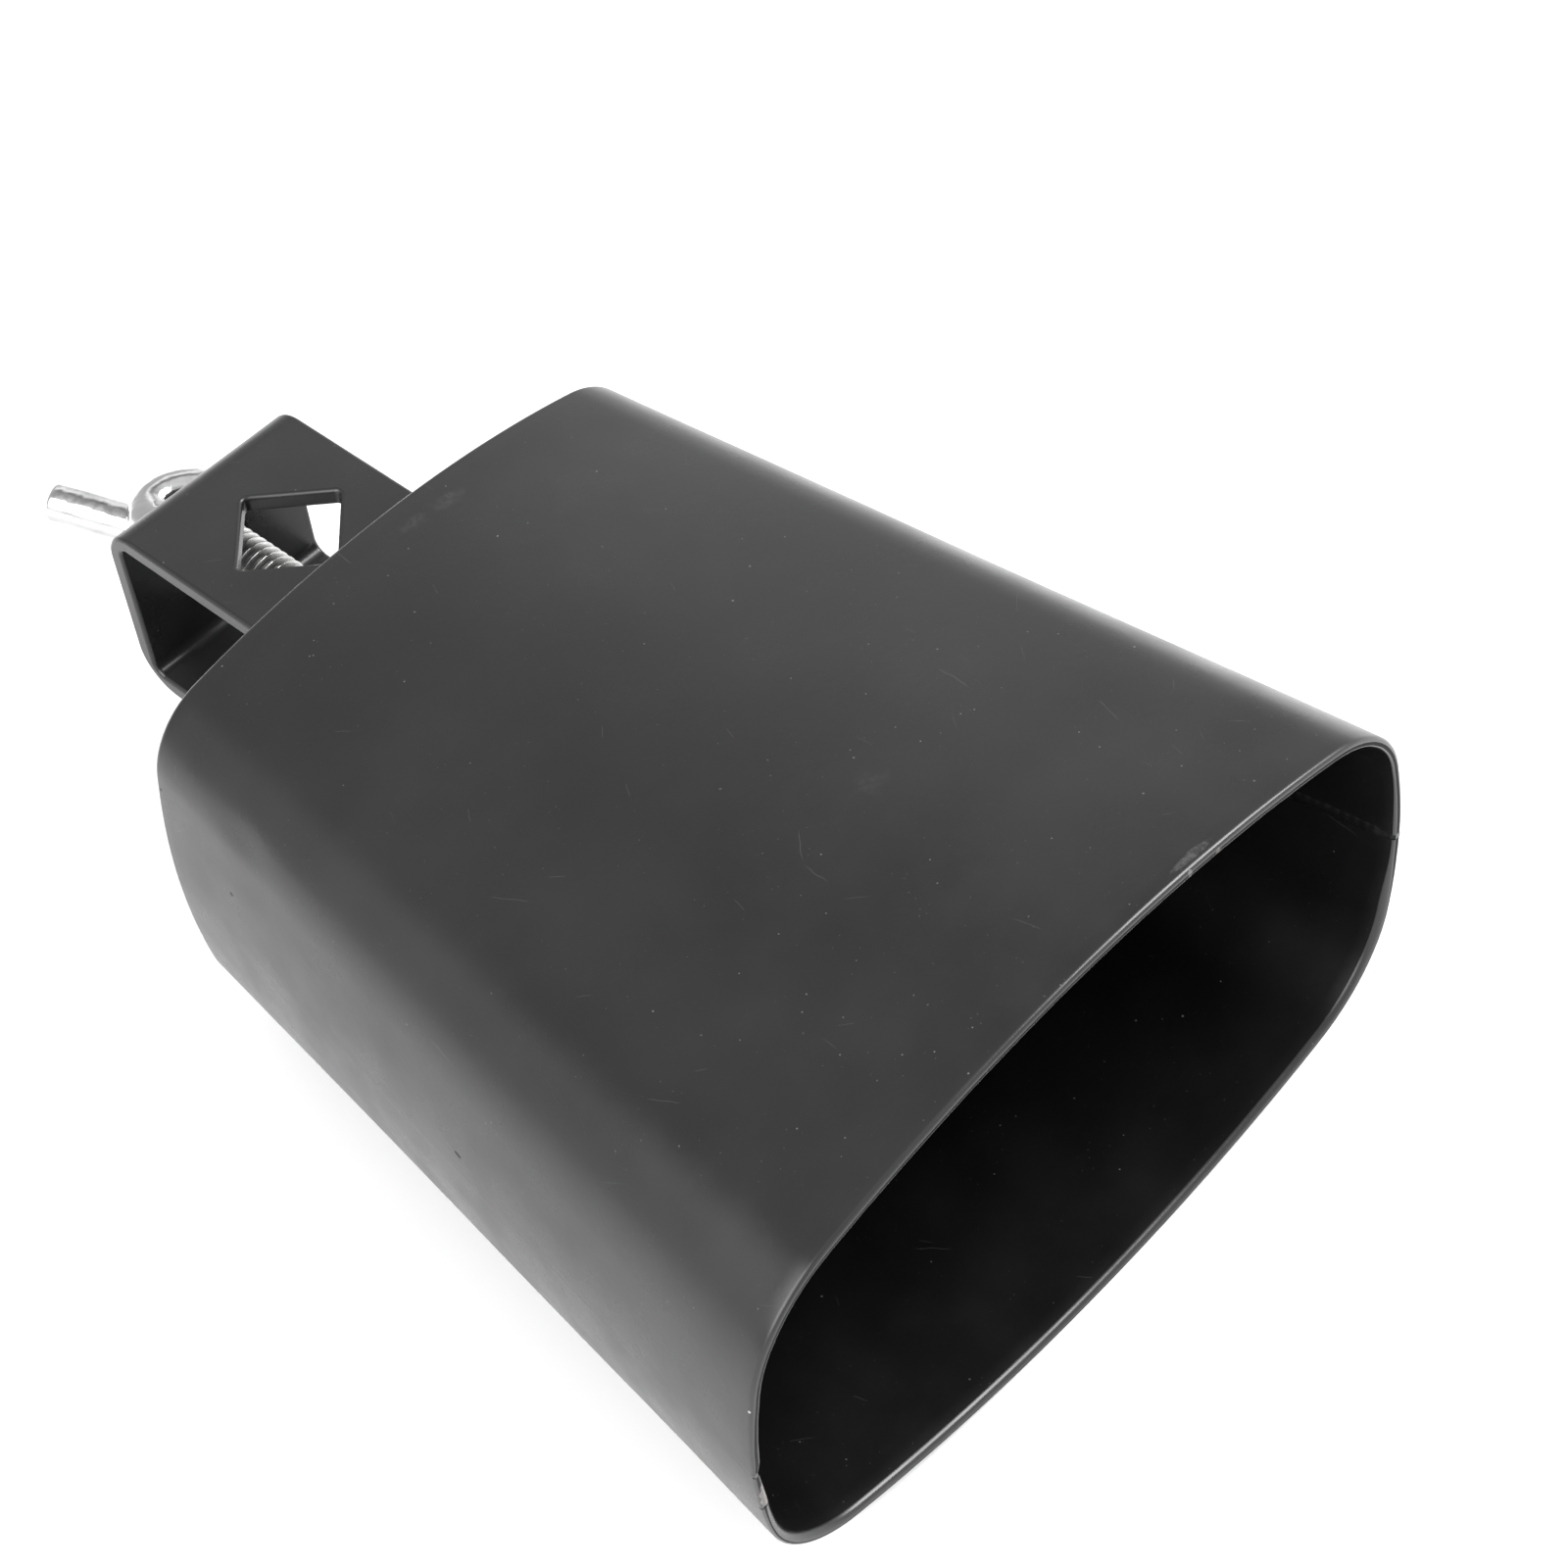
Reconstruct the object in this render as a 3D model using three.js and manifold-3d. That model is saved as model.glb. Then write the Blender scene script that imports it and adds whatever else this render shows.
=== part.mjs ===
// A mountable cowbell: a tapered bell welded from two half shells, a U-shaped mounting bracket
// on its closed heel, and a clamp screw with a bent-rod handle.
// Millimetres. The bell is drawn lying down: X across the mouth, Y from the mouth plane to the
// heel and on to the bracket, Z up, with the mouth's centre at the drawing's origin.
import * as THREE from 'three';
import { mergeVertices } from 'three/addons/utils/BufferGeometryUtils.js';
import Module from 'manifold-3d';

// ---- driving dimensions ----
const BELL_LENGTH = 127;
const SHEET = 1.5;
// half width, half height, and the radii of the crowned faces, the sides and the corners
const MOUTH = { a: 65.0, b: 37.2, crown: 196, side: 82, corner: 20 };
const HEEL = { a: 47.45, b: 34.1, crown: 167, side: 122, corner: 12.5 };
const HEEL_EDGE = 2.0; // outer radius where the walls turn into the heel plate
const ARC_STEPS = 5; // chords in each arc of a quarter outline

const FIT_GAP = 0.3; // clearance kept between pieces that touch
const SEAM_WELD = 1.0; // width of the bead between the two half shells
const BEAD_PROUD = 0.4; // how far the bead stands out inside the bell

const SCREW_Z = -1.0; // height of the bracket's and the screw's centre line
const STRAP = { width: 33.8, thickness: 3.0, height: 32.8, bend: 5.5 };
const STRAP_BACK = 173.6; // outer face of the strap's back wall
const FILLET_WELD = 2.5; // leg of the fillets that hold the strap to the heel

const ROD_HOLE = { side: 14.5, corner: 1.0, y: 151 }; // square holes, one corner to the bell

const SCREW_RADIUS = 9.525 / 2; // 3/8 inch coarse thread
const SCREW_TIP = 154;
const SCREW_SHOULDER = 175.2;
const TIP_CHAMFER = 1.0;
const NECK_LENGTH = 2.6;
const HANDLE_RADIUS = 3.15;
// centre line of the bent-rod handle, from the shank round the eye and out along the tail
const HANDLE_ROUTE = [
  [0, SCREW_SHOULDER + FIT_GAP, SCREW_Z], [0, 177, SCREW_Z], [-2.2, 180.5, -1.2],
  [-2.7, 184.6, -2.0], [-0.6, 187.5, -2.8], [3.6, 188.2, -3.1], [8.6, 185.3, -4.2],
  [9.6, 181.4, -7.0], [7.0, 179.4, -10.2], [3.0, 181.7, -12.0], [-0.4, 191.4, -9.6],
  [-6.4, 205.4, -7.6],
];
const HANDLE_STEPS = 44;
const HANDLE_SIDES = 12;
const ROUND_SIDES = 32;
const OUTSIDE = 20; // how far cutting tools reach past what they cut

const wasm = await Module();
wasm.setup();

// ---- solids and booleans ----
function toSolid(geometry) {
  const bare = geometry.clone();
  bare.deleteAttribute('normal');
  bare.deleteAttribute('uv');
  const merged = mergeVertices(bare, 1e-4);
  return new wasm.Manifold(new wasm.Mesh({
    numProp: 3,
    vertProperties: new Float32Array(merged.attributes.position.array),
    triVerts: new Uint32Array(merged.index.array),
  }));
}

function toGeometry(solid) {
  const mesh = solid.getMesh();
  const geometry = new THREE.BufferGeometry();
  geometry.setAttribute('position', new THREE.BufferAttribute(mesh.vertProperties, 3));
  geometry.setIndex(new THREE.BufferAttribute(mesh.triVerts, 1));
  geometry.computeVertexNormals();
  return geometry;
}

// a box given by its lowest and highest corners
function block(low, high) {
  const size = high.map((value, i) => value - low[i]);
  const geometry = new THREE.BoxGeometry(...size);
  geometry.translate(...low.map((value, i) => value + size[i] / 2));
  return toSolid(geometry);
}

// ---- the bell's oval outline ----
// where two circles meet, on the side away from the origin
function circlesMeet(c1, r1, c2, r2) {
  const between = c2.clone().sub(c1);
  const distance = between.length();
  const along = (distance ** 2 + r1 ** 2 - r2 ** 2) / (2 * distance);
  const across = Math.sqrt(r1 ** 2 - along ** 2);
  const unit = between.normalize();
  const foot = c1.clone().addScaledVector(unit, along);
  const normal = new THREE.Vector2(-unit.y, unit.x);
  const points = [across, -across].map((s) => foot.clone().addScaledVector(normal, s));
  return points[0].x + points[0].y > points[1].x + points[1].y ? points[0] : points[1];
}

function arcPoints(centre, radius, from, to) {
  return Array.from({ length: ARC_STEPS }, (_, i) => {
    const angle = from + ((to - from) * i) / ARC_STEPS;
    return new THREE.Vector2(Math.cos(angle), Math.sin(angle)).multiplyScalar(radius).add(centre);
  });
}

// one oval of tangent arcs: side, corner and crown in each quarter
function ovalOutline({ a, b, crown, side, corner }) {
  const sideCentre = new THREE.Vector2(a - side, 0);
  const crownCentre = new THREE.Vector2(0, b - crown);
  const cornerCentre = circlesMeet(sideCentre, side - corner, crownCentre, crown - corner);
  const sideEnd = cornerCentre.clone().sub(sideCentre).angle();
  const crownStart = cornerCentre.clone().sub(crownCentre).angle();
  const quarter = [
    ...arcPoints(sideCentre, side, 0, sideEnd),
    ...arcPoints(cornerCentre, corner, sideEnd, crownStart),
    ...arcPoints(crownCentre, crown, crownStart, Math.PI / 2),
  ];
  const top = new THREE.Vector2(0, b);
  const half = [...quarter, top, ...quarter.slice(1).reverse().map((p) => new THREE.Vector2(-p.x, p.y))];
  return [...half, ...half.map((p) => new THREE.Vector2(-p.x, -p.y))];
}

// the bell's section at a distance y from the mouth, pulled in all round by inset
function bellSection(y, inset) {
  const mix = (key) => THREE.MathUtils.lerp(MOUTH[key], HEEL[key], y / BELL_LENGTH) - inset;
  const shape = {};
  for (const key of ['a', 'b', 'crown', 'side', 'corner']) shape[key] = mix(key);
  return ovalOutline(shape).map((p) => new THREE.Vector3(p.x, y, p.y));
}

// a closed skin over a row of sections with equal point counts, capped at both ends
function loft(sections) {
  const count = sections[0].length;
  const points = sections.flat();
  const index = [];
  for (let s = 0; s + 1 < sections.length; s += 1) {
    for (let i = 0; i < count; i += 1) {
      const j = (i + 1) % count;
      const [p, q] = [s * count + i, s * count + j];
      index.push(p, p + count, q, q, p + count, q + count);
    }
  }
  for (const [first, flip] of [[0, false], [(sections.length - 1) * count, true]]) {
    for (let i = 1; i + 1 < count; i += 1) {
      index.push(first, ...(flip ? [first + i + 1, first + i] : [first + i, first + i + 1]));
    }
  }
  const geometry = new THREE.BufferGeometry().setFromPoints(points);
  geometry.setIndex(index);
  return toSolid(geometry);
}

function bellOutside() {
  const sections = [bellSection(0, 0)];
  for (const angle of [0, Math.PI / 6, Math.PI / 3, Math.PI / 2]) {
    const y = BELL_LENGTH - HEEL_EDGE * (1 - Math.sin(angle));
    sections.push(bellSection(y, HEEL_EDGE * (1 - Math.cos(angle))));
  }
  return loft(sections);
}

function bellInside(inset) {
  return loft([bellSection(-OUTSIDE, inset), bellSection(BELL_LENGTH - inset, inset)]);
}

// ---- the bell's pieces ----
const seamHalf = SEAM_WELD / 2;
const heelInsideHalf = HEEL.a - SHEET - BEAD_PROUD;

function halfShell(sign) {
  const walls = bellOutside().subtract(bellInside(SHEET));
  const edge = sign * (seamHalf + FIT_GAP);
  const far = sign * (MOUTH.b + OUTSIDE);
  const reach = MOUTH.a + OUTSIDE;
  const keep = block(
    [-reach, -OUTSIDE, Math.min(edge, far)],
    [reach, BELL_LENGTH + OUTSIDE, Math.max(edge, far)],
  );
  return toGeometry(walls.intersect(keep));
}

// the bead that fills the seam, flush outside and slightly proud inside
function seamBead(low, high) {
  const bead = bellOutside().subtract(bellInside(SHEET + BEAD_PROUD));
  return toGeometry(bead.intersect(block(low, high)));
}

function sideSeamWeld(sign) {
  const x = [sign * (heelInsideHalf + FIT_GAP), sign * (MOUTH.a + OUTSIDE)].sort((p, q) => p - q);
  return seamBead([x[0], -OUTSIDE, -seamHalf], [x[1], BELL_LENGTH + OUTSIDE, seamHalf]);
}

function heelSeamWeld() {
  const y = BELL_LENGTH - SHEET - BEAD_PROUD - FIT_GAP;
  return seamBead([-heelInsideHalf, y, -seamHalf], [heelInsideHalf, BELL_LENGTH + OUTSIDE, seamHalf]);
}

// ---- the bracket ----
// side view of the strap: a U lying on its side, open towards the heel
function strapProfile() {
  const front = BELL_LENGTH + FIT_GAP;
  const { thickness, bend } = STRAP;
  const half = STRAP.height / 2;
  const backCentre = STRAP_BACK - bend;
  const inner = bend - thickness;
  const shape = new THREE.Shape();
  shape.moveTo(front, -half);
  shape.lineTo(backCentre, -half);
  shape.absarc(backCentre, -half + bend, bend, -Math.PI / 2, 0, false);
  shape.absarc(backCentre, half - bend, bend, 0, Math.PI / 2, false);
  shape.lineTo(front, half);
  shape.lineTo(front, half - thickness);
  shape.absarc(backCentre, half - bend, inner, Math.PI / 2, 0, true);
  shape.absarc(backCentre, -half + bend, inner, 0, -Math.PI / 2, true);
  shape.lineTo(front, -half + thickness);
  return shape;
}

// stands a shape drawn in the (Y, Z) plane up and extrudes it evenly about x = 0
function extrudeAcross(shape, width, curveSegments) {
  const geometry = new THREE.ExtrudeGeometry(shape, { depth: width, bevelEnabled: false, curveSegments });
  geometry.translate(0, 0, -width / 2);
  geometry.applyMatrix4(new THREE.Matrix4().makeBasis(
    new THREE.Vector3(0, 1, 0),
    new THREE.Vector3(0, 0, 1),
    new THREE.Vector3(1, 0, 0),
  ));
  geometry.translate(0, 0, SCREW_Z);
  return geometry;
}

// a square prism along Z with small corner radii and a corner towards the bell
function rodHoleTool() {
  const { side, corner, y } = ROD_HOLE;
  const inset = side / 2 - corner;
  const shape = new THREE.Shape();
  shape.absarc(inset, inset, corner, 0, Math.PI / 2, false);
  shape.absarc(-inset, inset, corner, Math.PI / 2, Math.PI, false);
  shape.absarc(-inset, -inset, corner, Math.PI, 1.5 * Math.PI, false);
  shape.absarc(inset, -inset, corner, 1.5 * Math.PI, 2 * Math.PI, false);
  const depth = STRAP.height + 2 * OUTSIDE;
  const geometry = new THREE.ExtrudeGeometry(shape, { depth, bevelEnabled: false, curveSegments: 3 });
  geometry.rotateZ(Math.PI / 4);
  geometry.translate(0, y, SCREW_Z - depth / 2);
  return toSolid(geometry);
}

function cylinderAlongY(radiusStart, radiusEnd, start, end) {
  const geometry = new THREE.CylinderGeometry(radiusEnd, radiusStart, end - start, ROUND_SIDES);
  geometry.translate(0, (start + end) / 2, SCREW_Z);
  return toSolid(geometry);
}

function mountingBracket() {
  const strap = toSolid(extrudeAcross(strapProfile(), STRAP.width, 6));
  const tappedHole = SCREW_RADIUS + FIT_GAP;
  const screwHole = cylinderAlongY(tappedHole, tappedHole, STRAP_BACK - OUTSIDE, STRAP_BACK + OUTSIDE);
  return toGeometry(strap.subtract(rodHoleTool()).subtract(screwHole));
}

// a triangular fillet along the strap's outer face, top (sign 1) or bottom (sign -1)
function bracketWeld(sign) {
  const y = BELL_LENGTH + FIT_GAP;
  const z = sign * (STRAP.height / 2 + FIT_GAP);
  const shape = new THREE.Shape();
  shape.moveTo(y, z);
  shape.lineTo(y + FILLET_WELD, z);
  shape.lineTo(y, z + sign * FILLET_WELD);
  return toGeometry(toSolid(extrudeAcross(shape, STRAP.width - 2, 1)));
}

// ---- the clamp screw ----
function screwShank() {
  const tip = cylinderAlongY(SCREW_RADIUS - TIP_CHAMFER, SCREW_RADIUS, SCREW_TIP, SCREW_TIP + TIP_CHAMFER);
  const body = cylinderAlongY(SCREW_RADIUS, SCREW_RADIUS, SCREW_TIP + TIP_CHAMFER, SCREW_SHOULDER);
  return toGeometry(tip.add(body));
}

function screwHandle() {
  const section = new THREE.Shape();
  section.absarc(0, 0, HANDLE_RADIUS, 0, 2 * Math.PI, false);
  const route = new THREE.CatmullRomCurve3(HANDLE_ROUTE.map((p) => new THREE.Vector3(...p)));
  const rod = new THREE.ExtrudeGeometry(section, {
    steps: HANDLE_STEPS,
    curveSegments: HANDLE_SIDES / 2, // a full circle is drawn as two curves' worth of points
    extrudePath: route,
  });
  const neckStart = SCREW_SHOULDER + FIT_GAP;
  const neck = cylinderAlongY(SCREW_RADIUS, HANDLE_RADIUS, neckStart, neckStart + NECK_LENGTH);
  return toGeometry(toSolid(rod).add(neck));
}

// ---- materials ----
const paint = () => new THREE.MeshStandardMaterial({ color: 0x2b2b2c, roughness: 0.45, metalness: 0.1 });
const zinc = () => new THREE.MeshStandardMaterial({ color: 0xd4d6d8, roughness: 0.22, metalness: 1.0 });

// ---- assembly ----
function piece(name, geometry, material) {
  const mesh = new THREE.Mesh(geometry, material);
  mesh.name = name;
  return mesh;
}

const cowbell = new THREE.Group();
cowbell.add(
  piece('upper_shell', halfShell(1), paint()),
  piece('lower_shell', halfShell(-1), paint()),
  piece('left_seam_weld', sideSeamWeld(-1), paint()),
  piece('right_seam_weld', sideSeamWeld(1), paint()),
  piece('heel_seam_weld', heelSeamWeld(), paint()),
  piece('mounting_bracket', mountingBracket(), paint()),
  piece('upper_bracket_weld', bracketWeld(1), paint()),
  piece('lower_bracket_weld', bracketWeld(-1), paint()),
  piece('clamp_screw_shank', screwShank(), zinc()),
  piece('clamp_screw_handle', screwHandle(), zinc()),
);

// the finished part's origin is the bottom centre of its own box
const box = new THREE.Box3().setFromObject(cowbell);
cowbell.position.set(0, -(box.min.y + box.max.y) / 2, -box.min.z);
cowbell.updateMatrixWorld(true);

export default cowbell;
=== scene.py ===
"""The looks of a mountable cowbell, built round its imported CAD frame.

The bell lies on its broad side. Lengths are in millimetres in the bell's own axes, with the
middle of the mouth at (0, 0, 0), X across the mouth, Y towards the heel and bracket, Z up;
place() puts a point into the frame's metres.
"""
import math

import bmesh
import bpy
from mathutils import Matrix, Vector, noise


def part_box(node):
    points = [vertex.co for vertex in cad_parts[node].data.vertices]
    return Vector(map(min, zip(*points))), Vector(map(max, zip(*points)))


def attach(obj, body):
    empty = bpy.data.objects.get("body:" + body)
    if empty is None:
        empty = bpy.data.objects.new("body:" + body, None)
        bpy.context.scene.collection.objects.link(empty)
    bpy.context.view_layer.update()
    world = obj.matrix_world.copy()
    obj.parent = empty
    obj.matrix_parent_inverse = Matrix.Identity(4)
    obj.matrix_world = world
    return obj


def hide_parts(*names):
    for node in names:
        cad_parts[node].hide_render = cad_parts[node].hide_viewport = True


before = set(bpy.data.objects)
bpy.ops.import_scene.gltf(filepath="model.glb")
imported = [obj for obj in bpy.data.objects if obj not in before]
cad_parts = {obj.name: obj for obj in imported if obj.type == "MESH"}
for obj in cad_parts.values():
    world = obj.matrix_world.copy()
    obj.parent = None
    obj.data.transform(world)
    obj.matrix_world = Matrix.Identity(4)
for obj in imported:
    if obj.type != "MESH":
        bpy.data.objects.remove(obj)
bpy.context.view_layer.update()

# ---- sizes, from the CAD frame where it has them ----
MM = 0.001
shell_low, shell_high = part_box("upper_shell")
floor_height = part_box("lower_shell")[0].z
seam_low, seam_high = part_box("right_seam_weld")
strap_low, strap_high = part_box("mounting_bracket")
shank_low, shank_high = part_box("clamp_screw_shank")

MOUTH_CENTRE = Vector((0.0, shell_low.y, (shell_high.z + floor_height) / 2))
BELL_LENGTH = (shell_high.y - shell_low.y) / MM
SHEET = 1.5
HEEL_EDGE = 1.0  # outer radius where the walls turn into the heel plate
HEEL_INNER = 0.3
SEAM_HALF = (seam_high.z - seam_low.z) / 2 / MM
# half width, half height, and the radii of the crowned faces, the sides and the corners
MOUTH = {
    "a": seam_high.x / MM,
    "b": (shell_high.z - floor_height) / 2 / MM,
    "crown": 196.0,
    "side": 82.0,
    "corner": 20.0,
}
HEEL = {"a": 47.45, "b": 34.1, "crown": 167.0, "side": 122.0, "corner": 12.5}

# how filing and paint round the rim's outer and inner corners: at the seams, and on each half
SEAM_LIPS = (0.5, 0.4)
HALF_LIPS = {1: (0.7, 0.28), -1: (0.35, 0.95)}

STRAP_WIDTH = (strap_high.x - strap_low.x) / MM
STRAP_HEIGHT = (strap_high.z - strap_low.z) / MM
STRAP_BACK = (strap_high.y - shell_low.y) / MM
STRAP_THICKNESS = 3.0
UPPER_BEND = 6.2  # outer radii of the two bends
LOWER_BEND = 7.2
INNER_BEND = 2.0
STRAP_EDGE = 0.7
SCREW_Z = ((strap_high.z + strap_low.z) / 2 - MOUTH_CENTRE.z) / MM
ROD_HOLE = {"side": 14.5, "corner": 1.0, "y": 151.0}

SCREW_RADIUS = (shank_high.x - shank_low.x) / 2 / MM
SCREW_TIP = (shank_low.y - shell_low.y) / MM
SCREW_SHOULDER = (shank_high.y - shell_low.y) / MM
THREAD_PITCH = 25.4 / 16
THREAD_DEPTH = 0.6134 * THREAD_PITCH
TAPPED_GAP = 0.1

HANDLE_RADIUS = 3.15
HANDLE_ROUTE = [
    (0, SCREW_SHOULDER + 0.3, SCREW_Z), (0, 177, SCREW_Z), (-2.2, 180.5, -1.2),
    (-2.7, 184.6, -2.0), (-0.6, 187.5, -2.8), (3.6, 188.2, -3.1), (8.6, 185.3, -4.2),
    (9.6, 181.4, -7.0), (7.0, 179.4, -10.2), (3.0, 181.7, -12.0), (-0.4, 191.4, -9.6),
    (-6.4, 205.4, -7.6),
]


def place(x, y, z):
    """A point of the bell's own axes, in the frame's metres."""
    return MOUTH_CENTRE + Vector((x, y, z)) * MM


def smooth_step(low, high, value):
    t = min(1.0, max(0.0, (value - low) / (high - low)))
    return t * t * (3 - 2 * t)


# ---- mesh helpers ----
WELD_DISTANCE = 1e-6  # metres
# edges that turn by more than this many degrees are shaded sharp
SHEET_SHARP_ANGLE = 38.0
SCREW_SHARP_ANGLE = 50.0
FILLET_SHARP_ANGLE = 60.0


def make_object(name, points, faces, materials, sharp_angle=SHEET_SHARP_ANGLE, finishes=None):
    """A mesh object from points in millimetres, smooth except where faces meet sharply.

    finishes gives each face's place in the list of materials.
    """
    mesh = bpy.data.meshes.new(name)
    mesh.from_pydata([place(*p) for p in points], [], faces)
    for material in materials:
        mesh.materials.append(material)
    if finishes:
        mesh.polygons.foreach_set("material_index", finishes)
    clean_mesh(mesh, sharp_angle)
    piece = bpy.data.objects.new(name, mesh)
    bpy.context.scene.collection.objects.link(piece)
    return piece


def clean_mesh(mesh, sharp_angle):
    """Welds doubled points, turns faces outward and marks sharp edges."""
    bm = bmesh.new()
    bm.from_mesh(mesh)
    bmesh.ops.remove_doubles(bm, verts=bm.verts, dist=WELD_DISTANCE)
    bmesh.ops.dissolve_degenerate(bm, edges=bm.edges, dist=WELD_DISTANCE)
    bmesh.ops.recalc_face_normals(bm, faces=bm.faces)
    for face in bm.faces:
        face.smooth = True
    limit = math.radians(sharp_angle)
    for edge in bm.edges:
        edge.smooth = len(edge.link_faces) == 2 and edge.calc_face_angle() < limit
    bm.to_mesh(mesh)
    bm.free()


def grid_faces(rows, columns, closed=False):
    """Quads over a grid of points stored row by row; closed joins the last column to the first."""
    faces = []
    for r in range(rows - 1):
        this, after = r * columns, (r + 1) * columns
        for c in range(columns if closed else columns - 1):
            d = (c + 1) % columns
            faces.append((this + c, this + d, after + d, after + c))
    return faces


def capped_tube(name, rings, materials, sharp_angle=SHEET_SHARP_ANGLE, column_finishes=None):
    """A closed skin over rings of equally many points, with a flat cap at both ends.

    column_finishes gives the material of each lengthwise strip of faces.
    """
    count = len(rings[0])
    points = [p for ring in rings for p in ring]
    faces = grid_faces(len(rings), count, closed=True)
    finishes = (column_finishes or [0] * count) * (len(rings) - 1) + [0, 0]
    faces.append(tuple(range(count)))
    faces.append(tuple(range(len(points) - count, len(points))))
    return make_object(name, points, faces, materials, sharp_angle, finishes)


def ride_on(piece, body, slot, *nodes):
    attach(piece, body)
    if nodes:
        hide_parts(*nodes)
    return piece


# ---- material helpers ----
class Shader:
    """A Principled material and short ways to add nodes to it."""

    def __init__(self, name, **constants):
        self.material = bpy.data.materials.new(name)
        self.material.use_nodes = True
        self.tree = self.material.node_tree
        self.bsdf = self.tree.nodes["Principled BSDF"]
        for socket, value in constants.items():
            self.bsdf.inputs[socket.replace("_", " ")].default_value = value
        coordinates = self.tree.nodes.new("ShaderNodeTexCoord")
        self.position = coordinates.outputs["Object"]

    def node(self, kind, inputs, output, **settings):
        made = self.tree.nodes.new(kind)
        for key, value in settings.items():
            setattr(made, key, value)
        for key, value in inputs.items():
            if isinstance(value, bpy.types.NodeSocket):
                self.tree.links.new(value, made.inputs[key])
            else:
                made.inputs[key].default_value = value
        return made.outputs[output]

    def math(self, operation, *values, clamp=False):
        inputs = dict(enumerate(values))
        return self.node("ShaderNodeMath", inputs, 0, operation=operation, use_clamp=clamp)

    def vector(self, operation, *values, output=0):
        inputs = dict(enumerate(values))
        return self.node("ShaderNodeVectorMath", inputs, output, operation=operation)

    def noise(self, size, detail=3.0, roughness=0.5, vector=None, distortion=0.0):
        """Noise whose features are about size millimetres across."""
        inputs = {
            "Vector": vector or self.position,
            "Scale": 1 / (size * MM),
            "Detail": detail,
            "Roughness": roughness,
            "Distortion": distortion,
        }
        return self.node("ShaderNodeTexNoise", inputs, "Fac")

    def ramp(self, value, low, high, start=0.0, end=1.0):
        """value mapped from low..high to start..end, smoothly and clamped."""
        inputs = {"Value": value, "From Min": low, "From Max": high, "To Min": start, "To Max": end}
        return self.node("ShaderNodeMapRange", inputs, "Result", interpolation_type="SMOOTHSTEP")

    def mix(self, share, first, second, kind="RGBA"):
        """Two colours mixed by share."""
        inputs = {"Factor": share, "A": first, "B": second}
        return self.node("ShaderNodeMix", inputs, "Result", data_type=kind)

    def blend_value(self, share, first, second):
        """Two numbers mixed by share."""
        return self.mix(share, first, second, kind="FLOAT")

    def spots(self, cell, radius, share, offset=(0.0, 0.0, 0.0)):
        """Round specks of that radius, in a share of the cells of a cellular pattern."""
        moved = self.vector("ADD", self.position, offset)
        inputs = {"Vector": moved, "Scale": 1 / (cell * MM)}
        distance = self.node("ShaderNodeTexVoronoi", inputs, "Distance")
        colour = self.node("ShaderNodeTexVoronoi", inputs, "Color")
        red = self.node("ShaderNodeSeparateColor", {"Color": colour}, "Red")
        reach = radius / cell
        near = self.ramp(distance, reach * 0.5, reach, 1.0, 0.0)
        chosen = self.math("GREATER_THAN", red, 1 - share)
        return self.math("MULTIPLY", near, chosen)

    def scratches(self, cell, reach, width, share, offset=(0.0, 0.0, 0.0)):
        """Short fine scratches, each up to twice reach long, in a share of a pattern's cells."""
        moved = self.vector("ADD", self.position, offset)
        inputs = {"Vector": moved, "Scale": 1 / (cell * MM)}
        centre = self.node("ShaderNodeTexVoronoi", inputs, "Position")
        colour = self.node("ShaderNodeTexVoronoi", inputs, "Color")
        away = self.vector("SUBTRACT", moved, centre)
        across = self.vector("NORMALIZE", self.vector("SUBTRACT", colour, (0.5, 0.5, 0.5)))
        off_line = self.vector("DOT_PRODUCT", away, across, output="Value")
        wander = self.math("MULTIPLY", self.math("SUBTRACT", self.noise(3.0, 1.0), 0.5), 0.6 * MM)
        off_line = self.math("ABSOLUTE", self.math("ADD", off_line, wander))
        line = self.ramp(off_line, width * 0.3 * MM, width * MM, 1.0, 0.0)
        length = self.vector("LENGTH", away, output="Value")
        short = self.ramp(length, reach * 0.6 * MM, reach * MM, 1.0, 0.0)
        red = self.node("ShaderNodeSeparateColor", {"Color": colour}, "Red")
        chosen = self.math("GREATER_THAN", red, 1 - share)
        return self.math("MULTIPLY", self.math("MULTIPLY", line, short), chosen)

    def patch(self, centre, reach, ragged=0.5, grain=0.6, softness=0.2):
        """One ragged mark round a point, reach millimetres along each axis."""
        away = self.vector("SUBTRACT", self.position, tuple(place(*centre)))
        scaled = self.vector("DIVIDE", away, tuple(r * MM for r in reach))
        distance = self.vector("LENGTH", scaled, output="Value")
        centred = self.math("SUBTRACT", self.noise(grain, 4.0), 0.5)
        rough = self.math("MULTIPLY", centred, ragged * 3)
        return self.ramp(self.math("ADD", distance, rough), 1 - softness, 1.0, 1.0, 0.0)

    def highest(self, *values):
        """The highest of several values at each point."""
        result = values[0]
        for value in values[1:]:
            result = self.math("MAXIMUM", result, value)
        return result

    def bump(self, height, depth):
        """Surface relief of that depth in millimetres at height 1."""
        inputs = {"Height": height, "Distance": depth * MM, "Strength": 1.0}
        self.tree.links.new(
            self.node("ShaderNodeBump", inputs, "Normal"), self.bsdf.inputs["Normal"],
        )

    def connect(self, socket, value):
        self.tree.links.new(value, self.bsdf.inputs[socket])


# ---- paint and metal ----
def grey(value):
    return (value, value, value, 1.0)


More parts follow.
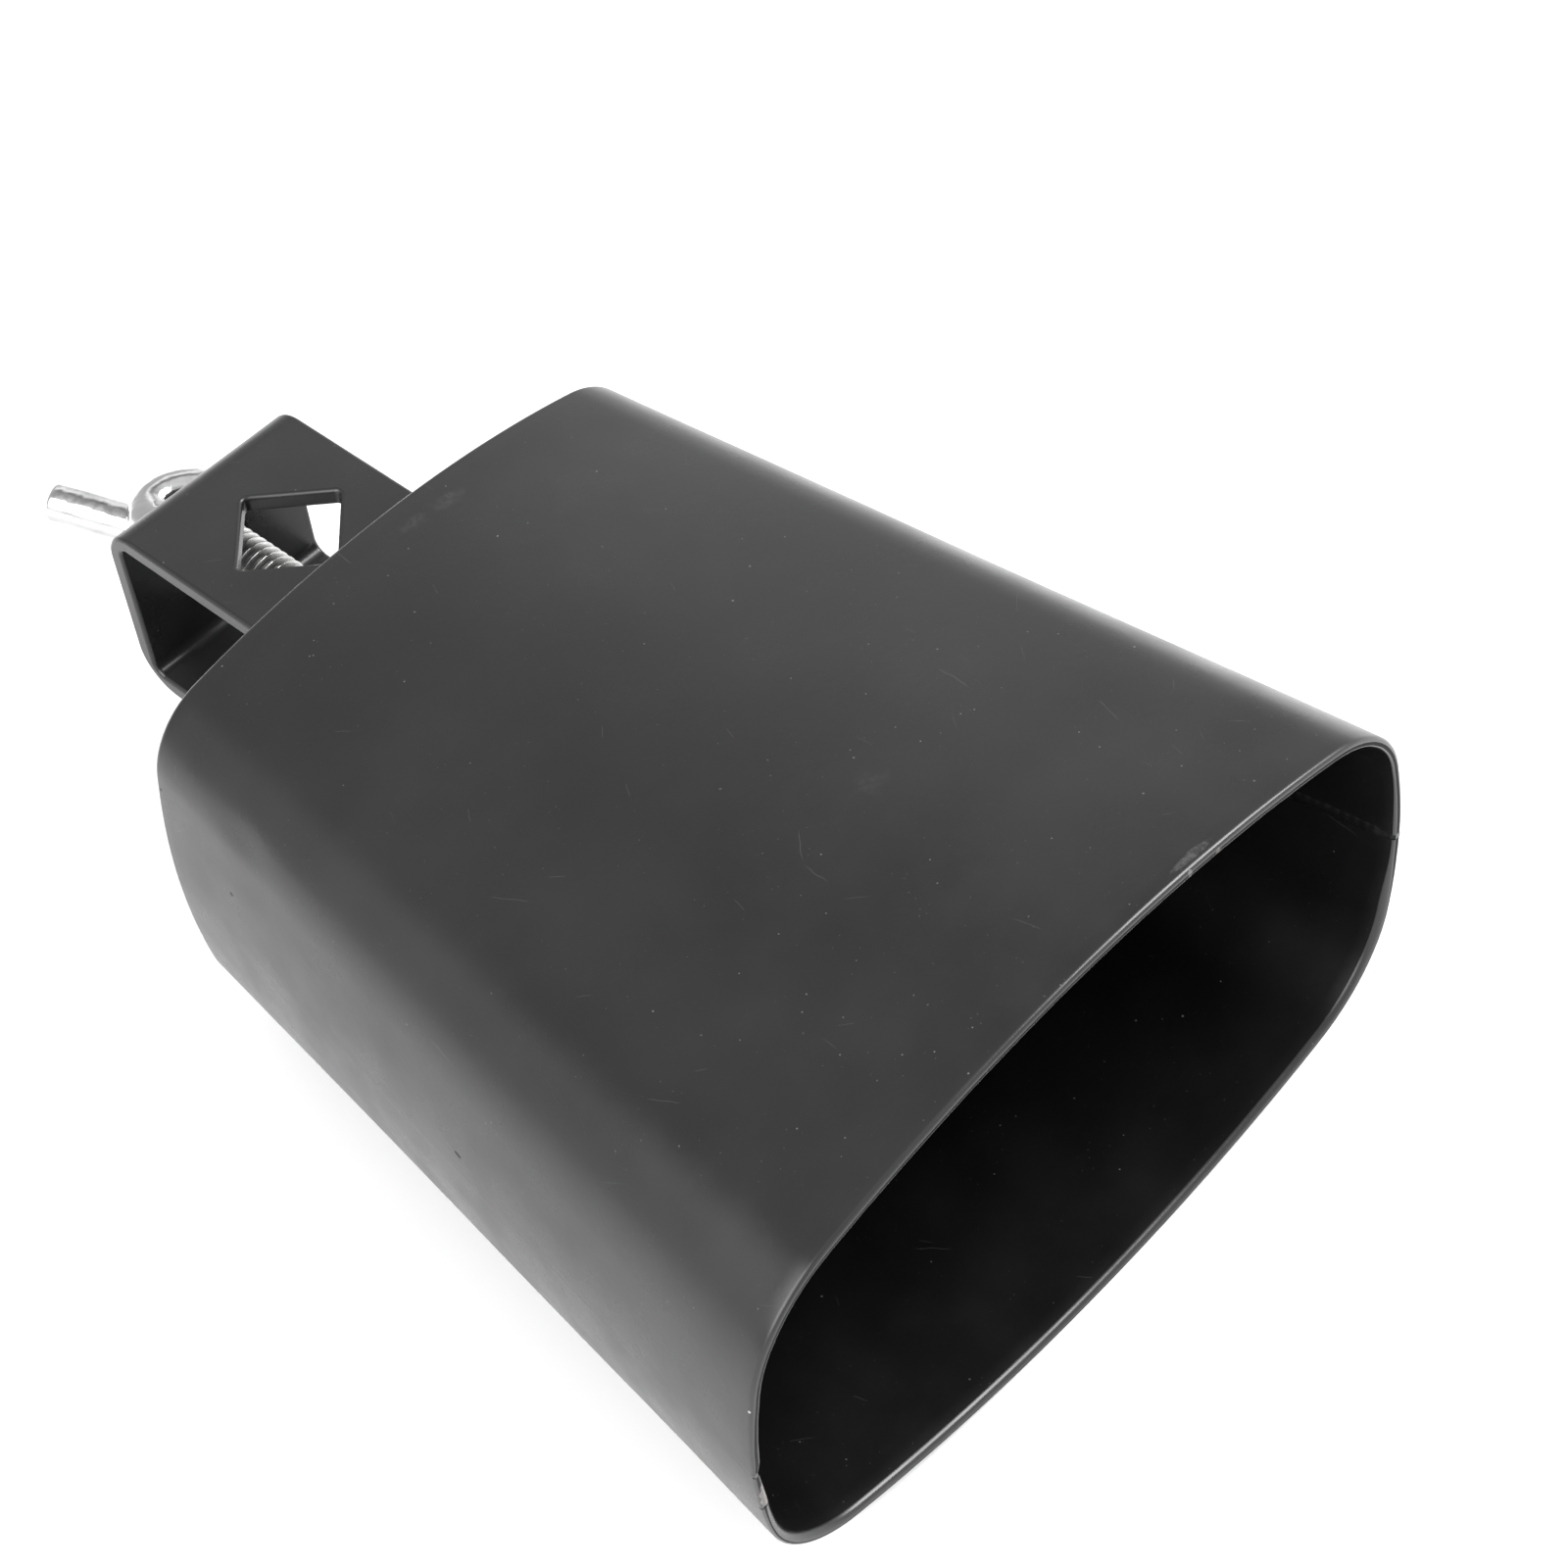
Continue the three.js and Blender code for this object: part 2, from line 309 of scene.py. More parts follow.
PAINT = (0.0085, 0.0085, 0.009, 1.0)
PAINT_WORN = (0.016, 0.016, 0.017, 1.0)
# the inside's paint is darker than the outside's: painted shade for the bell's hollow
INNER_SHADED_PAINT = grey(0.002)
INNER_SHADED_WORN = grey(0.0045)
# the grey of a painted reflection on the rim's left part
RIM_SHEEN_GREY = grey(0.022)
# a black darker than the paint: painted shade in the pits, in the paint's crack and on the sawn rim
PAINTED_SHADE_BLACK = grey(0.003)
DUST = grey(0.12)
# the grey of a painted highlight on one small raised speck
PAINTED_GLINT_GREY = grey(0.32)
BARE_STEEL = (0.16, 0.15, 0.145, 1.0)
PAINT_RELIEF = 0.016  # depth in millimetres of the paint's relief

# marks on the bell: centre, reach, raggedness and grain; a scuff also has softness and strength
SCUFFS = (
    ((7.4, 121.5, 34.0), (3.6, 1.8, 3.0), 0.7, 1.4, 0.8, 0.16),
    ((1.5, 121.8, 34.2), (3.2, 1.4, 3.0), 0.8, 1.4, 0.8, 0.10),
    ((20.8, 1.5, 36.0), (4.6, 0.75, 2.0), 0.35, 1.6, 0.3, 0.30),
    ((4.5, 40.3, 36.1), (3.4, 2.4, 3.0), 0.6, 2.0, 0.9, 0.06),
)
PITS = (
    ((-46.3, 125.7, 17.9), (0.35, 0.35, 0.35), 0.1, 0.6),
    ((-49.3, 109.8, 10.7), (0.4, 0.4, 0.4), 0.1, 0.6),
    ((-56.7, 59.5, 4.0), (0.45, 0.8, 0.5), 0.3, 0.4),
    ((-54.2, 64.7, -3.0), (0.4, 0.5, 0.5), 0.3, 0.4),
)
RIM_CHIPS = (
    ((18.4, 0.2, 35.6), (0.5, 0.5, 0.6), 0.5, 0.4),
    ((24.0, 0.2, 34.8), (0.6, 0.5, 0.6), 0.5, 0.4),
)
BARE_PATCH = ((-63.6, 0.0, -5.4), (1.1, 0.9, 2.9), 0.45, 1.4)
PAINT_CRACK = ((-63.7, 0.0, -8.3), (1.1, 0.8, 0.3), 0.3, 0.6)
# where the painted highlight sits, on a small raised speck
GLINT_SPOT = ((-63.9, 0.4, 13.4), (0.28, 0.28, 0.28), 0.1)
RIM_SHEEN_START = -30  # a painted reflection lightens the rim grey, growing from here to the end below, along X
RIM_SHEEN_END = -62
RIM_GLOSS = (0.34, 0.44)
RIM_SPECULAR = 0.03

THREAD_BRIGHT = (0.60, 0.60, 0.59, 1.0)
THREAD_DULL = (0.48, 0.48, 0.47, 1.0)
# painted shade for the thread's roots
THREAD_ROOT_SHADE = (0.15, 0.15, 0.147, 1.0)
THREAD_RELIEF = 0.006
ROD_BRIGHT = (0.64, 0.64, 0.645, 1.0)
ROD_DULL = grey(0.46)
ROD_MARK = grey(0.3)
ROD_RELIEF = 0.2


class Paint:
    """Satin black paint: faint orange peel, uneven gloss, dust, specks and fine scratches."""

    def __init__(self, name, gloss=(0.25, 0.34), specular=0.5, fresh=PAINT, second_tone=PAINT_WORN):
        s = self.shader = Shader(name, Specular_IOR_Level=specular, IOR=1.5, Metallic=0.0)
        cloudy = s.ramp(s.noise(26.0, 4.0), 0.3, 0.75)
        self.colour = s.mix(s.math("MULTIPLY", cloudy, 0.5), fresh, second_tone)
        self.gloss = s.ramp(s.noise(11.0, 4.0), 0.25, 0.8, *gloss)
        broad_peel = s.math("MULTIPLY", s.noise(1.3, 2.0), 0.55)
        self.relief = s.math("ADD", broad_peel, s.math("MULTIPLY", s.noise(0.45, 1.0), 0.12))
        specks = s.highest(
            s.spots(2.4, 0.15, 0.5),
            s.spots(3.7, 0.22, 0.3, (0.4, 0.9, 0.2)),
            s.math("MULTIPLY", s.spots(1.1, 0.09, 0.6, (0.8, 0.1, 0.6)), 0.5),
        )
        faded = s.math("MULTIPLY", specks, s.ramp(s.noise(7.0), 0.3, 0.7, 0.15, 0.8))
        self.mark(faded, DUST, 0.55, 0.9)
        scratches = s.highest(
            s.scratches(9.0, 3.0, 0.06, 0.16),
            s.scratches(5.0, 1.3, 0.05, 0.14, (0.3, 0.6, 0.1)),
        )
        self.mark(s.math("MULTIPLY", scratches, 0.18), DUST, 0.45, -0.7)

    def mark(self, mask, colour, roughness, rise):
        """Paints a masked colour with its own roughness, standing out by rise."""
        s = self.shader
        self.colour = s.mix(mask, self.colour, colour)
        self.gloss = s.blend_value(mask, self.gloss, roughness)
        self.relief = s.math("ADD", self.relief, s.math("MULTIPLY", mask, rise))

    def finish(self):
        s = self.shader
        s.connect("Base Color", self.colour)
        s.connect("Roughness", self.gloss)
        s.bump(self.relief, PAINT_RELIEF)
        return s.material


def bell_paint():
    """The bell's outer paint, with scuffs, rim chips and pits where the real one has them; the pits
    and a crack are darkened with painted shade, and a small speck carries a painted highlight.
    """
    paint = Paint("bell_black_paint")
    s = paint.shader
    streaks = s.ramp(s.noise(0.7, 3.0), 0.35, 0.65, 0.2, 1.0)
    scuffs = []
    for *spot, strength in SCUFFS:
        scuffs.append(s.math("MULTIPLY", s.patch(*spot), strength))
    paint.mark(s.math("MULTIPLY", s.highest(*scuffs), streaks), DUST, 0.55, 0.2)
    # a painted highlight on a small raised speck
    paint.mark(s.patch(*GLINT_SPOT), PAINTED_GLINT_GREY, 0.6, 1.5)
    rim_damage(paint)
    # the pits' hollows darkened with painted shade
    paint.mark(s.highest(*[s.patch(*pit) for pit in PITS]), PAINTED_SHADE_BLACK, 0.6, -5.0)
    return paint.finish()


def rim_damage(paint):
    """Chips to bare steel by the left seam and on top of the rim, and a crack in the paint,
    darkened with painted shade.
    """
    s = paint.shader
    bare = s.patch(*BARE_PATCH)
    chips = s.highest(*[s.patch(*chip) for chip in RIM_CHIPS])
    paint.mark(bare, BARE_STEEL, 0.5, -1.5)
    paint.mark(s.math("MULTIPLY", chips, 0.5), BARE_STEEL, 0.5, -1.5)
    # the crack darkened with painted shade
    paint.mark(s.patch(*PAINT_CRACK), PAINTED_SHADE_BLACK, 0.6, -6.0)


def rim_paint():
    """Thin paint on the sawn rim, its dark colour painted shade, with a painted reflection
    lightening it grey towards the left.
    """
    # the sawn rim's colour is painted shade, darker than the paint
    paint = Paint("rim_black_paint", RIM_GLOSS, RIM_SPECULAR, PAINTED_SHADE_BLACK, PAINTED_SHADE_BLACK)
    s = paint.shader
    across = s.node("ShaderNodeSeparateXYZ", {"Vector": s.position}, "X")
    # painted reflection: the rim turns lighter grey towards the left
    second_tone = s.ramp(across, place(RIM_SHEEN_START, 0, 0).x, place(RIM_SHEEN_END, 0, 0).x)
    uneven = s.ramp(s.noise(4.0), 0.3, 0.7, 0.6, 1.0)
    paint.mark(s.math("MULTIPLY", second_tone, uneven), RIM_SHEEN_GREY, 0.45, 0.0)
    rim_damage(paint)
    return paint.finish()


def screw_distance(s):
    """How far a point lies from the clamp screw's axis, in metres."""
    centre = place(0, 0, SCREW_Z)
    flat = s.vector("MULTIPLY", s.vector("SUBTRACT", s.position, tuple(centre)), (1.0, 0.0, 1.0))
    return s.vector("LENGTH", flat, output="Value")


def thread_metal():
    """Plated thread: bright crests, and duller roots darkened with painted shade."""
    s = Shader("plated_thread_metal", Metallic=1.0)
    crest = s.ramp(screw_distance(s), (SCREW_RADIUS - THREAD_DEPTH) * MM, SCREW_RADIUS * MM)
    stain = s.ramp(s.noise(2.6, 3.0), 0.35, 0.7)
    metal = s.mix(stain, THREAD_BRIGHT, THREAD_DULL)
    # the roots darkened with painted shade, by distance from the axis
    s.connect("Base Color", s.mix(crest, THREAD_ROOT_SHADE, metal))
    s.connect("Roughness", s.blend_value(crest, 0.45, s.ramp(s.noise(0.9), 0.3, 0.7, 0.22, 0.34)))
    s.bump(s.noise(0.5, 2.0), THREAD_RELIEF)
    return s.material


def handle_metal():
    """Bright plated rod: slight waviness, fine pits and faint handling marks."""
    s = Shader("plated_rod_metal", Metallic=1.0)
    stain = s.ramp(s.noise(4.5, 4.0), 0.4, 0.75)
    metal = s.mix(stain, ROD_BRIGHT, ROD_DULL)
    marks = s.spots(1.3, 0.1, 0.5)
    s.connect("Base Color", s.mix(s.math("MULTIPLY", marks, 0.5), metal, ROD_MARK))
    s.connect("Roughness", s.ramp(s.noise(1.6, 3.0), 0.3, 0.75, 0.09, 0.2))
    wave = s.math("ADD", s.noise(4.0, 1.0), s.math("MULTIPLY", s.noise(1.7, 1.0), 0.4))
    s.bump(s.math("SUBTRACT", wave, s.math("MULTIPLY", marks, 0.08)), ROD_RELIEF)
    return s.material


def floor_material():
    s = Shader("pale_floor", Roughness=0.6)
    s.connect("Base Color", s.mix(s.noise(90.0), grey(0.86), grey(0.89)))
    return s.material


# ---- the bell's oval section ----
CORNER_STEPS = 18
SIDE_STEPS = 9
CROWN_STEPS = 22


def circles_meet(first, first_radius, second, second_radius):
    """Where two circles meet, on the side away from the origin."""
    between = second - first
    along = (between.length_squared + first_radius**2 - second_radius**2) / (2 * between.length)
    across = math.sqrt(first_radius**2 - along**2)
    unit = between.normalized()
    normal = Vector((-unit.y, unit.x))
    foot = first + unit * along
    return max((foot + normal * across, foot - normal * across), key=lambda p: p.x + p.y)


def arc_points(centre, radius, start, end, steps):
    """Points along an arc, without its end."""
    angles = [start + (end - start) * i / steps for i in range(steps)]
    return [centre + Vector((math.cos(t), math.sin(t))) * radius for t in angles]


def upper_outline(shape):
    """The upper half of the oval, from the right seam over the top to the left seam."""
    side_centre = Vector((shape["a"] - shape["side"], 0.0))
    crown_centre = Vector((0.0, shape["b"] - shape["crown"]))
    corner = shape["corner"]
    corner_centre = circles_meet(
        side_centre, shape["side"] - corner, crown_centre, shape["crown"] - corner,
    )
    to_side = corner_centre - side_centre
    to_crown = corner_centre - crown_centre
    side_end = math.atan2(to_side.y, to_side.x)
    crown_start = math.atan2(to_crown.y, to_crown.x)
    seam = math.asin(SEAM_HALF / shape["side"])
    quarter = arc_points(side_centre, shape["side"], seam, side_end, SIDE_STEPS)
    quarter += arc_points(corner_centre, corner, side_end, crown_start, CORNER_STEPS)
    quarter += arc_points(crown_centre, shape["crown"], crown_start, math.pi / 2, CROWN_STEPS)
    mirrored = [Vector((-p.x, p.y)) for p in reversed(quarter)]
    return quarter + [Vector((0.0, shape["b"]))] + mirrored


def section_shape(y, inset):
    share = y / BELL_LENGTH
    return {key: MOUTH[key] + (HEEL[key] - MOUTH[key]) * share - inset for key in MOUTH}


def bell_row(y, inset, closing, sign):
    """One row of the half shell; closing below 1 draws the row in towards the seam's line."""
    row = []
    for p in upper_outline(section_shape(y, inset)):
        z = SEAM_HALF + (p.y - SEAM_HALF) * closing
        row.append(Vector((p.x, y, sign * z)))
    return row


# ---- the half shells ----
PLATE_CLOSINGS = (0.0, 0.12, 0.26, 0.42, 0.58, 0.74, 0.88, 0.96)  # the heel plate's rows
HEEL_EDGE_STEPS = 7
WALL_ROWS = 64
OUTER_STEPS = 5  # rows round the rim's outer and inner corner
INNER_STEPS = 4
OUTER_ROWS = len(PLATE_CLOSINGS) + HEEL_EDGE_STEPS + 1 + WALL_ROWS
RIM_ROWS = OUTER_STEPS + 1 + INNER_STEPS


def wall_side_rows(inset, radius, first_y, sign):
    """The rows from the middle of the heel plate, round the heel edge and along to the mouth.

    inset is how deep in the sheet they lie, and radius is the heel edge's radius there.
    """
    plate_y = BELL_LENGTH - inset
    rows = [bell_row(plate_y, inset + radius, closing, sign) for closing in PLATE_CLOSINGS]
    for step in range(HEEL_EDGE_STEPS + 1):
        angle = math.pi / 2 * (1 - step / HEEL_EDGE_STEPS)
        y = plate_y - radius * (1 - math.sin(angle))
        rows.append(bell_row(y, inset + radius * (1 - math.cos(angle)), 1.0, sign))
    length = plate_y - radius - first_y
    for step in range(1, WALL_ROWS + 1):
        y = plate_y - radius - length * step / WALL_ROWS
        rows.append(bell_row(y, inset, 1.0, sign))
    return rows


def rim_rows(lips, sign):
    """The rim between the outer and the inner wall, rounded at both corners by lips."""
    outer, inner = lips
    rows = []
    for step in range(1, OUTER_STEPS + 1):
        angle = math.pi / 2 * step / OUTER_STEPS
        y = outer * (1 - math.sin(angle))
        rows.append(bell_row(y, outer * (1 - math.cos(angle)), 1.0, sign))
    rows.append(bell_row(0.0, (outer + SHEET - inner) / 2, 1.0, sign))
    for step in range(INNER_STEPS, 0, -1):
        angle = math.pi / 2 * step / INNER_STEPS
        y = inner * (1 - math.sin(angle))
        rows.append(bell_row(y, SHEET - inner * (1 - math.cos(angle)), 1.0, sign))
    return rows


def sheet_rows(lips, sign):
    """Every row of a half: outer wall, rim, inner wall."""
    outer = wall_side_rows(0.0, HEEL_EDGE, lips[0], sign)
    inner = wall_side_rows(SHEET, HEEL_INNER, lips[1], sign)
    return outer + rim_rows(lips, sign) + inner[::-1]


# hand work: broad hollows, and one small pinch on the left shoulder
DENT_DEPTH = 0.35
DENT_SPAN = 34
DENT_LENGTH = 46
DENT_FADE = 30.0  # how far behind the rim the hollows reach their full depth
PINCH_DEPTH = 0.3
PINCH_CENTRE = (-47.5, 106, 23)
PINCH_REACH = (3.0, 5.0, 2.4)
BELL_HALF_WIDTH = 60  # roughly, to turn a push towards the bell's middle
BELL_HALF_HEIGHT = 35


def dent(p):
    """How far hand work has moved a point of the sheet, always towards the bell's middle."""
    spread = Vector((p.x / DENT_SPAN, p.y / DENT_LENGTH, p.z / DENT_SPAN))
    wide = noise.noise(spread + Vector((5.2, 1.3, 8.8)))
    away = sum(((a - c) / reach) ** 2 for a, c, reach in zip(p, PINCH_CENTRE, PINCH_REACH))
    depth = DENT_DEPTH * (0.5 + 0.5 * wide) + PINCH_DEPTH * math.exp(-away)
    return Vector((-p.x / BELL_HALF_WIDTH, 0.0, -p.z / BELL_HALF_HEIGHT)) * depth


def dented(p):
    """A point after hand work, which leaves the rim as it was."""
    return p + dent(p) * smooth_step(0.0, DENT_FADE, p.y)


# the cut rim's unevenness, and the notch beside the left seam, by height
RIM_FADE = 1.2
WAVE_SIZE = 5.0
WAVE_DEPTH = 0.10
NICK_SIZE = 0.9
NICK_DEPTH = 0.05
NOTCH_TOP = 2.2
NOTCH_MIDDLE = 0.8
NOTCH_FOOT = -7.5
NOTCH_DEPTH = 0.55
NOTCH_SIDE = -50  # the notch is left of here


def rim_wander(p, sheet_share):
    """How far the rim's unevenness moves a point, growing from the outer face inwards."""
    near = math.exp(-p.y / RIM_FADE)
    wave = WAVE_DEPTH * noise.noise(Vector((p.x / WAVE_SIZE, p.z / WAVE_SIZE, 3.3)))
    nick = NICK_DEPTH * noise.noise(Vector((p.x / NICK_SIZE, p.z / NICK_SIZE, 7.7)))
    across = (wave + nick) * near * sheet_share
    outward = Vector((p.x, 0.0, p.z)).normalized()
    return outward * (across + notch_depth(p) * near * sheet_share)


def notch_depth(p):
    """How far the rim's inner edge is cut back beside the left seam, most at NOTCH_MIDDLE."""
    if p.x > NOTCH_SIDE:
        return 0.0
    above = (NOTCH_TOP - p.z) / (NOTCH_TOP - NOTCH_MIDDLE)
    below = (p.z - NOTCH_FOOT) / (NOTCH_MIDDLE - NOTCH_FOOT)
    return NOTCH_DEPTH * max(0.0, min(1.0, above, below))


OUTER_FINISH = 0
RIM_FINISH = 1
INNER_FINISH = 2


def row_finish(row):
    """Which material the faces after a row take: outside, sawn rim or inside.

    The rim's rounded corners are painted like the outside.
    """
    step = row - OUTER_ROWS
    if step in (OUTER_STEPS - 1, OUTER_STEPS):
        return RIM_FINISH
    return OUTER_FINISH if step < RIM_ROWS else INNER_FINISH


SEAM_LIP_REACH = 2.0  # the rim keeps the seam's rounding to this height
OWN_LIP_START = 14.0  # and has its half's own rounding beyond this one


def half_shell_points(sign):
    """The sheet's points row by row: outer wall, rim, inner wall."""
    points = []
    row_pairs = zip(sheet_rows(SEAM_LIPS, sign), sheet_rows(HALF_LIPS[sign], sign))
    for index, (seam_row, own_row) in enumerate(row_pairs):
        inside = smooth_step(OUTER_ROWS, OUTER_ROWS + RIM_ROWS, index)
        for seam_point, own_point in zip(seam_row, own_row):
            share = smooth_step(SEAM_LIP_REACH, OWN_LIP_START, abs(seam_point.z))
            p = seam_point.lerp(own_point, share)
            points.append(dented(p) + rim_wander(p, inside))
    return points


def half_shell(name, sign, materials):
    """One pressed half of the bell, a closed sheet 1.5 mm thick."""
    points = half_shell_points(sign)
    rows = 2 * OUTER_ROWS + RIM_ROWS
    columns = len(points) // rows
    faces = grid_faces(rows, columns)
    finishes = [row_finish(face[0] // columns) for face in faces]
    last = rows - 1
    for column in (0, columns - 1):
        edge = [row * columns + column for row in range(rows)]
        for row in range(OUTER_ROWS - 1):
            faces.append((edge[row], edge[row + 1], edge[last - row - 1], edge[last - row]))
        faces.append(tuple(edge[OUTER_ROWS - 1:OUTER_ROWS + RIM_ROWS + 1]))
    end = last * columns
    for column in range(columns - 1):
        faces.append((column, column + 1, end + column + 1, end + column))
    finishes += [OUTER_FINISH] * (len(faces) - len(finishes))
    return make_object(name, points, faces, materials, finishes=finishes)


# ---- weld beads ----
RIPPLE_PITCH = 1.5
INNER_BEAD_HALF = 1.15
INNER_BEAD_PROUD = 0.34
BEAD_SINK = 0.006
BEAD_START = 0.02  # how far behind the rim the side beads begin
BEAD_FADE = 4.0  # how far the inner dome takes to rise behind the rim
BEAD_STEP = 0.4
BEAD_OVERLAP = 0.05  # how far the weld runs into each half's edge
BEAD_FOOT = 0.25  # how deep in the sheet the dome's foot lies
DOME_STEPS = 8
DOME_ROOT = 0.1
BEAD_EDGE_STEPS = 6  # round the heel edge
WANDER_START = 0.3  # the depth in the sheet where a bead begins to follow the rim's unevenness
# for each lengthwise strip of the section: outer paint, and on the dome and its foot the inside's
# paint, darkened with painted shade
BEAD_FINISHES = [0] + [1] * (DOME_STEPS + 4) + [0] * 4


def bead_ring(foot, normal, along, rise=1.0, lip=0.0, inner_lip=0.0):
    """The bead's section: ground flush outside, a rippled dome inside.

    rise scales the dome; lip and inner_lip draw the faces in to follow the rim's rounding.
    """
    ripple = 0.5 + 0.5 * math.cos(2 * math.pi * along / RIPPLE_PITCH)
    lumpy = noise.noise(Vector((along / 4.0, foot.x / 30, 1.1)))
    grain = noise.noise(Vector((along / 2.0, 4.4, foot.x / 30)))
    proud = INNER_BEAD_PROUD * (0.62 + 0.2 * ripple + 0.4 * lumpy) * rise - 0.08 * (1 - rise)
    half = INNER_BEAD_HALF * (0.9 + 0.18 * lumpy + 0.06 * ripple)
    sink = lip + BEAD_SINK * (1 + 0.8 * grain)
    inner = SHEET - inner_lip
    base = inner - BEAD_FOOT
    edge = SEAM_HALF + BEAD_OVERLAP
    section = [(edge, sink), (edge, base), (half, base)]
    for step in range(DOME_STEPS + 1):
        angle = math.pi * step / DOME_STEPS
        depth = inner - DOME_ROOT + (proud + DOME_ROOT) * math.sin(angle)
        section.append((half * math.cos(angle), depth))
    section += [(-half, base), (-edge, base), (-edge, sink)]
    section += [(-SEAM_HALF / 2, sink * 0.6), (SEAM_HALF / 2, sink * 0.6)]
    return [foot - normal * depth + Vector((0, 0, across)) for across, depth in section]


def rounding(radius, y):
    """How far a rounded corner of the rim lies inside its wall, y behind the rim."""
    if y >= radius:
        return 0.0
    return radius - math.sqrt(radius**2 - (radius - y) ** 2)


def side_bead_path(sign):
    """(point, outward direction) along one side, from the mouth round the heel edge."""
    path = []
    steps = int(BELL_LENGTH / BEAD_STEP)
    for step in range(steps + 1):
        y = BEAD_START + (BELL_LENGTH - HEEL_EDGE - BEAD_START) * step / steps
        x = MOUTH["a"] + (HEEL["a"] - MOUTH["a"]) * y / BELL_LENGTH
        path.append((Vector((sign * x, y, 0)), Vector((sign, 0, 0))))
    for step in range(1, BEAD_EDGE_STEPS + 1):
        angle = math.pi / 2 * step / BEAD_EDGE_STEPS
        y = BELL_LENGTH - HEEL_EDGE * (1 - math.sin(angle))
        x = section_shape(y, HEEL_EDGE * (1 - math.cos(angle)))["a"]
        outward = Vector((sign * math.cos(angle), math.sin(angle), 0))
        path.append((Vector((sign * x, y, 0)), outward))
    return path


def side_bead(name, sign, materials):
    """The seam bead along one side of the bell and round the heel edge."""
    rings = []
    for foot, outward in side_bead_path(sign):
        moved = dented(foot)
        rise = smooth_step(0.0, BEAD_FADE, foot.y)
        lip, inner_lip = (rounding(radius, foot.y) for radius in SEAM_LIPS)
        ring = []
        for p in bead_ring(moved, outward, foot.y, rise, lip, inner_lip):
            inside = smooth_step(WANDER_START, SHEET, (moved - p).dot(outward))
            ring.append(p + rim_wander(p, inside))
        rings.append(ring)
    return capped_tube(name, rings, materials, column_finishes=BEAD_FINISHES)


def heel_bead(name, materials):
    """The seam bead across the heel plate."""
    reach = HEEL["a"] - HEEL_EDGE
    steps = int(2 * reach / BEAD_STEP)
    rings = []
    for step in range(steps + 1):
        x = -reach + 2 * reach * step / steps
        rings.append(bead_ring(dented(Vector((x, BELL_LENGTH, 0))), Vector((0, 1, 0)), x))
    return capped_tube(name, rings, materials, column_finishes=BEAD_FINISHES)


FILLET_LEG = 2.5
FILLET_HALF_WIDTH = STRAP_WIDTH / 2 - 1.0
FILLET_STEP = 0.2
FILLET_ARC_STEPS = 8
FILLET_ROOT = 0.25  # how far the fillet is sunk into the strap and the heel plate
FILLET_LAG = 0.5  # how far each ripple's middle trails behind its edges
FILLET_END_SHARE = 0.04  # the fillet's size at its two ends


def fillet_bead(name, sign, material):
    """A rippled fillet between the strap's outer face and the heel plate."""
    rings = []
    steps = int(2 * FILLET_HALF_WIDTH / FILLET_STEP)
    for step in range(steps + 1):
        x = -FILLET_HALF_WIDTH + 2 * FILLET_HALF_WIDTH * step / steps
        rings.append(fillet_ring(x, sign))
    return capped_tube(name, rings, [material], FILLET_SHARP_ANGLE)


def fillet_ring(x, sign):
    """The fillet's section: its hidden root and a rippled quarter round."""
    end = math.sqrt(max(0.0, 1 - (abs(x) / FILLET_HALF_WIDTH) ** 10))
    lumpy = noise.noise(Vector((x / 3.0, sign * 5.0, 2.2)))
    section = [(0.0, 0.0)]
    for step in range(FILLET_ARC_STEPS + 1):
        angle = math.pi / 2 * step / FILLET_ARC_STEPS
        lag = x + FILLET_LAG * math.sin(2 * angle)
        ripple = abs(math.sin(math.pi * lag / RIPPLE_PITCH))
        leg = FILLET_LEG * (0.80 + 0.10 * ripple + 0.12 * lumpy) * max(FILLET_END_SHARE, end)
        section.append((leg * math.cos(angle), leg * math.sin(angle)))
    points = []
    for across, up in section:
        z = SCREW_Z + sign * (STRAP_HEIGHT / 2 - FILLET_ROOT + up)
        points.append(Vector((x, BELL_LENGTH - FILLET_ROOT + across, z)))
    return points


# ---- the bracket ----
BEND_STEPS = 14
HOLE_CORNER_STEPS = 6
TAPPED_SIDES = 72
STRAP_SINK = 0.15  # how far the strap's feet reach into the heel plate
DRILL_REACH = 9  # how far the drill reaches to each side of the strap's back
EDGE_SEGMENTS = 4
EDGE_ANGLE = math.radians(35)  # edges sharper than this are softened


def strap_outline():
    """Side view of the strap as (y, z) points: a U on its side, open towards the heel."""
    front = BELL_LENGTH - STRAP_SINK
    half = STRAP_HEIGHT / 2
    outline = [(front, -half)]
    for radius, inset, start, end, side in (
        (LOWER_BEND, 0.0, -90, 0, -1),
        (UPPER_BEND, 0.0, 0, 90, 1),
        (INNER_BEND, STRAP_THICKNESS, 90, 0, 1),
        (INNER_BEND, STRAP_THICKNESS, 0, -90, -1),
    ):
        if inset and side == 1:
            outline += [(front, half), (front, half - STRAP_THICKNESS)]
        for step in range(BEND_STEPS + 1):
            angle = math.radians(start + (end - start) * step / BEND_STEPS)
            z = side * (half - inset - radius) + radius * math.sin(angle)
            outline.append((STRAP_BACK - inset - radius + radius * math.cos(angle), z))
    outline.append((front, -half + STRAP_THICKNESS))
    return outline


def prism(name, outline, low, high, to_point):
    """A straight prism over an outline, with to_point(u, v, w) giving each point."""
    count = len(outline)
    points = [to_point(u, v, w) for w in (low, high) for u, v in outline]
    faces = [tuple(range(count)), tuple(range(count, 2 * count))]
    for i in range(count):
        j = (i + 1) % count
        faces.append((i, j, count + j, count + i))
    return make_object(name, points, faces, [])


